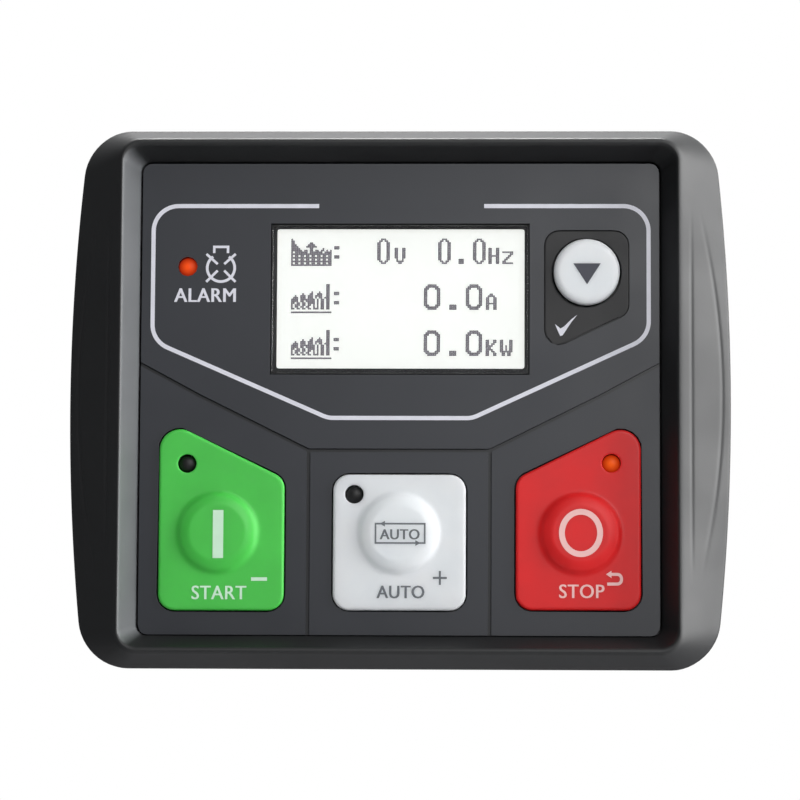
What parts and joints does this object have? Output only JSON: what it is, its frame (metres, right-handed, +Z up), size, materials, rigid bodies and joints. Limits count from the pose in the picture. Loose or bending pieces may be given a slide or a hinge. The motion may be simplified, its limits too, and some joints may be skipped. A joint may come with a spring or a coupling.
{
  "type": "genset controller",
  "caption": "Panel-mounted generator controller with a bowed black front frame, a small display, coloured rubber start, auto and stop keys, and a rear case with plug-in terminals.",
  "frame": {"origin": "middle of the panel's cut-out, in the plane of the panel's front surface, which the gasket's back face rests on", "axes": "+Z up, -Y out of the front towards the user, +Y back through the cut-out, +X to the right as seen from the front"},
  "size_m": [0.1102, 0.0559, 0.09],
  "materials": {
    "black_abs": "satin black moulding",
    "dark_grey_face": "fine matt dark grey",
    "green_silicone": "soft green silicone",
    "white_silicone": "soft white silicone",
    "red_silicone": "soft red silicone",
    "dark_silicone": "soft dark grey silicone",
    "carbon_rubber": "conductive carbon rubber",
    "gasket_rubber": "closed-cell black foam rubber",
    "clear_polycarbonate": "clear hard window",
    "display_glass": "pale reflective display cell",
    "white_plastic": "white light guide",
    "orange_lamp": "lit orange-red lamp",
    "unlit_lamp": "dark unlit lamp",
    "board_laminate": "green solder mask",
    "chip_black": "black epoxy",
    "relay_blue": "blue relay cover",
    "can_aluminium": "plain aluminium can",
    "plated_steel": "bright zinc plating",
    "terminal_green": "green terminal plastic",
    "clip_nylon": "black nylon"
  },
  "bodies": {
    "controller": {"front_shell": "black_abs", "panel_gasket": "gasket_rubber", "face_panel": "dark_grey_face", "start_pad": "green_silicone", "auto_pad": "white_silicone", "stop_pad": "red_silicone", "page_pad": "dark_silicone", "alarm_led": "orange_lamp", "start_led": "unlit_lamp", "auto_led": "unlit_lamp", "stop_led": "orange_lamp", "display_window": "clear_polycarbonate", "lcd_cell": "display_glass", "lcd_backlight": "white_plastic", "keypad_sheet": "dark_silicone", "key_board": "board_laminate", "key_board_screw_1": "plated_steel", "key_board_screw_2": "plated_steel", "key_board_screw_3": "plated_steel", "key_board_screw_4": "plated_steel", "microcontroller": "chip_black", "link_header": "chip_black", "link_socket": "chip_black", "main_board": "board_laminate", "relay_1": "relay_blue", "relay_2": "relay_blue", "relay_3": "relay_blue", "capacitor_1": "can_aluminium", "capacitor_2": "can_aluminium", "upper_terminal_socket": "terminal_green", "lower_terminal_socket": "terminal_green", "usb_socket": "plated_steel", "rear_case": "black_abs", "case_screw_1": "plated_steel", "case_screw_2": "plated_steel", "case_screw_3": "plated_steel", "case_screw_4": "plated_steel", "left_fixing_clip": "clip_nylon", "right_fixing_clip": "clip_nylon"},
    "start_key": {"start_button": "green_silicone", "start_pill": "carbon_rubber"},
    "auto_key": {"auto_button": "white_silicone", "auto_pill": "carbon_rubber"},
    "stop_key": {"stop_button": "red_silicone", "stop_pill": "carbon_rubber"},
    "page_key": {"page_button": "white_silicone", "page_pill": "carbon_rubber"},
    "left_jack": {"left_jack_screw": "plated_steel"},
    "right_jack": {"right_jack_screw": "plated_steel"},
    "upper_plug": {"upper_terminal_plug": "terminal_green"},
    "lower_plug": {"lower_terminal_plug": "terminal_green"}
  },
  "joints": [
    {"name": "start_press", "type": "slide", "parent": "controller", "child": "start_key", "axis": [0, 1, 0], "range_m": [0, 0.0009], "stiffness_N_per_m": 1500},
    {"name": "auto_press", "type": "slide", "parent": "controller", "child": "auto_key", "axis": [0, 1, 0], "range_m": [0, 0.0009], "stiffness_N_per_m": 1500},
    {"name": "stop_press", "type": "slide", "parent": "controller", "child": "stop_key", "axis": [0, 1, 0], "range_m": [0, 0.0009], "stiffness_N_per_m": 1500},
    {"name": "page_press", "type": "slide", "parent": "controller", "child": "page_key", "axis": [0, 1, 0], "range_m": [0, 0.0009], "stiffness_N_per_m": 1500},
    {"name": "left_clamp", "type": "slide", "parent": "controller", "child": "left_jack", "axis": [0, -1, 0], "range_m": [-0.005, 0.0025]},
    {"name": "right_clamp", "type": "slide", "parent": "controller", "child": "right_jack", "axis": [0, -1, 0], "range_m": [-0.005, 0.0025]},
    {"name": "upper_unplug", "type": "slide", "parent": "controller", "child": "upper_plug", "axis": [0, 1, 0], "range_m": [0, 0.01]},
    {"name": "lower_unplug", "type": "slide", "parent": "controller", "child": "lower_plug", "axis": [0, 1, 0], "range_m": [0, 0.01]}
  ]
}
